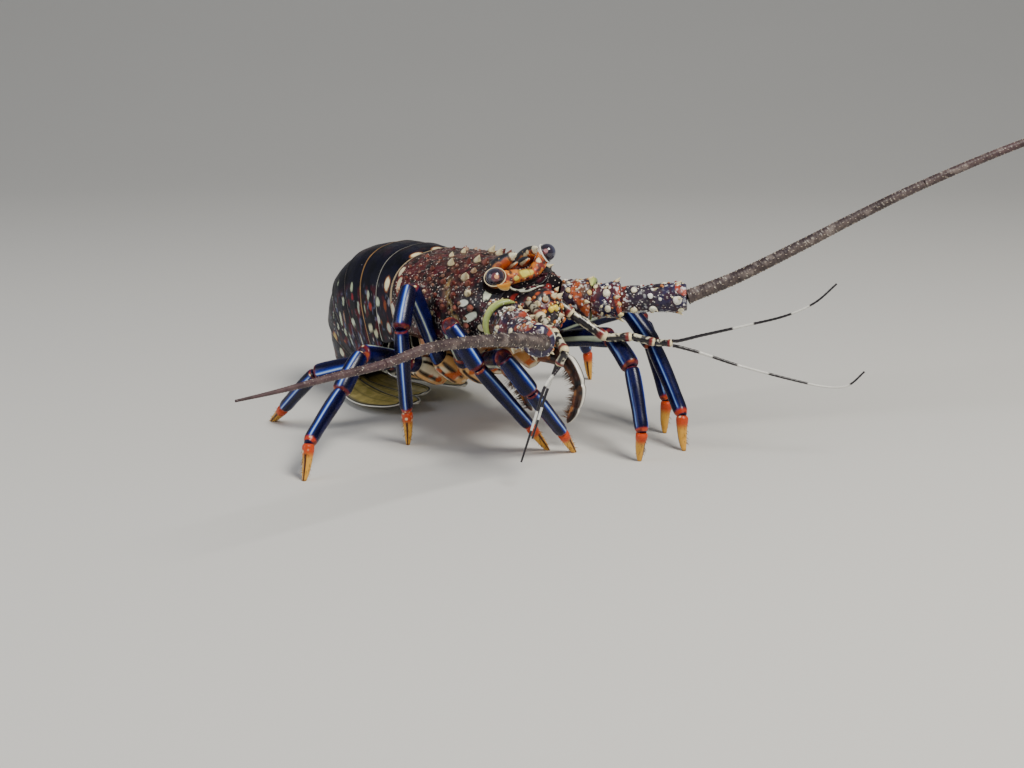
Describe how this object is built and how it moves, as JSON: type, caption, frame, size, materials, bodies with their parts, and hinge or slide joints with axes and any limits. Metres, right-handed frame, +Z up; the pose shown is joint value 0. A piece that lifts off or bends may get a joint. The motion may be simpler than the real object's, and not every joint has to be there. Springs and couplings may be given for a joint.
{
  "type": "spiny lobster model",
  "caption": "Life-size still model of a banded spiny lobster standing on its legs, with long spiny antennae, branched antennules and a tail fan curled under the tail.",
  "frame": {"origin": "centre of the bounding box on the floor under the feet", "axes": "+X is the way the animal heads, +Y is its left, +Z is up from the floor"},
  "size_m": [0.3462, 0.5292, 0.1597],
  "materials": {
    "antennule": "satin",
    "breast_plate": "satin",
    "cornea": "polished",
    "horn": "satin",
    "joint_orange": "satin",
    "leg_blue": "glossy shell",
    "mottled_shell": "satin shell",
    "mouth_limb": "satin",
    "tail_fan": "satin",
    "tail_shell": "glossy shell",
    "whip": "satin"
  },
  "bodies": {
    "root": {"abdomen_1": "tail_shell", "abdomen_2": "tail_shell", "abdomen_3": "tail_shell", "abdomen_4": "tail_shell", "abdomen_5": "tail_shell", "abdomen_6": "tail_shell", "antenna_left_base_1": "mottled_shell", "antenna_left_base_2": "mottled_shell", "antenna_left_base_3": "mottled_shell", "antenna_left_whip_1": "whip", "antenna_left_whip_2": "whip", "antenna_right_base_1": "mottled_shell", "antenna_right_base_2": "mottled_shell", "antenna_right_base_3": "mottled_shell", "antenna_right_whip_1": "whip", "antenna_right_whip_2": "whip", "antennule_left_base": "antennule", "antennule_left_lower": "antennule", "antennule_left_upper": "antennule", "antennule_right_base": "antennule", "antennule_right_lower": "antennule", "antennule_right_upper": "antennule", "carapace": "mottled_shell", "eye_left": "cornea", "eye_right": "cornea", "eyestalk_left": "joint_orange", "eyestalk_right": "joint_orange", "head_front": "joint_orange", "horn_left": "horn", "horn_right": "horn", "leg_left_1_lower": "leg_blue", "leg_left_1_upper": "leg_blue", "leg_left_2_lower": "leg_blue", "leg_left_2_upper": "leg_blue", "leg_left_3_lower": "leg_blue", "leg_left_3_upper": "leg_blue", "leg_left_4_lower": "leg_blue", "leg_left_4_upper": "leg_blue", "leg_left_5_lower": "leg_blue", "leg_left_5_upper": "leg_blue", "leg_right_1_lower": "leg_blue", "leg_right_1_upper": "leg_blue", "leg_right_2_lower": "leg_blue", "leg_right_2_upper": "leg_blue", "leg_right_3_lower": "leg_blue", "leg_right_3_upper": "leg_blue", "leg_right_4_lower": "leg_blue", "leg_right_4_upper": "leg_blue", "leg_right_5_lower": "leg_blue", "leg_right_5_upper": "leg_blue", "maxilliped_left": "mouth_limb", "maxilliped_right": "mouth_limb", "sternum": "breast_plate", "telson": "tail_fan", "uropod_left_inner": "tail_fan", "uropod_left_outer": "tail_fan", "uropod_right_inner": "tail_fan", "uropod_right_outer": "tail_fan"}
  },
  "joints": []
}
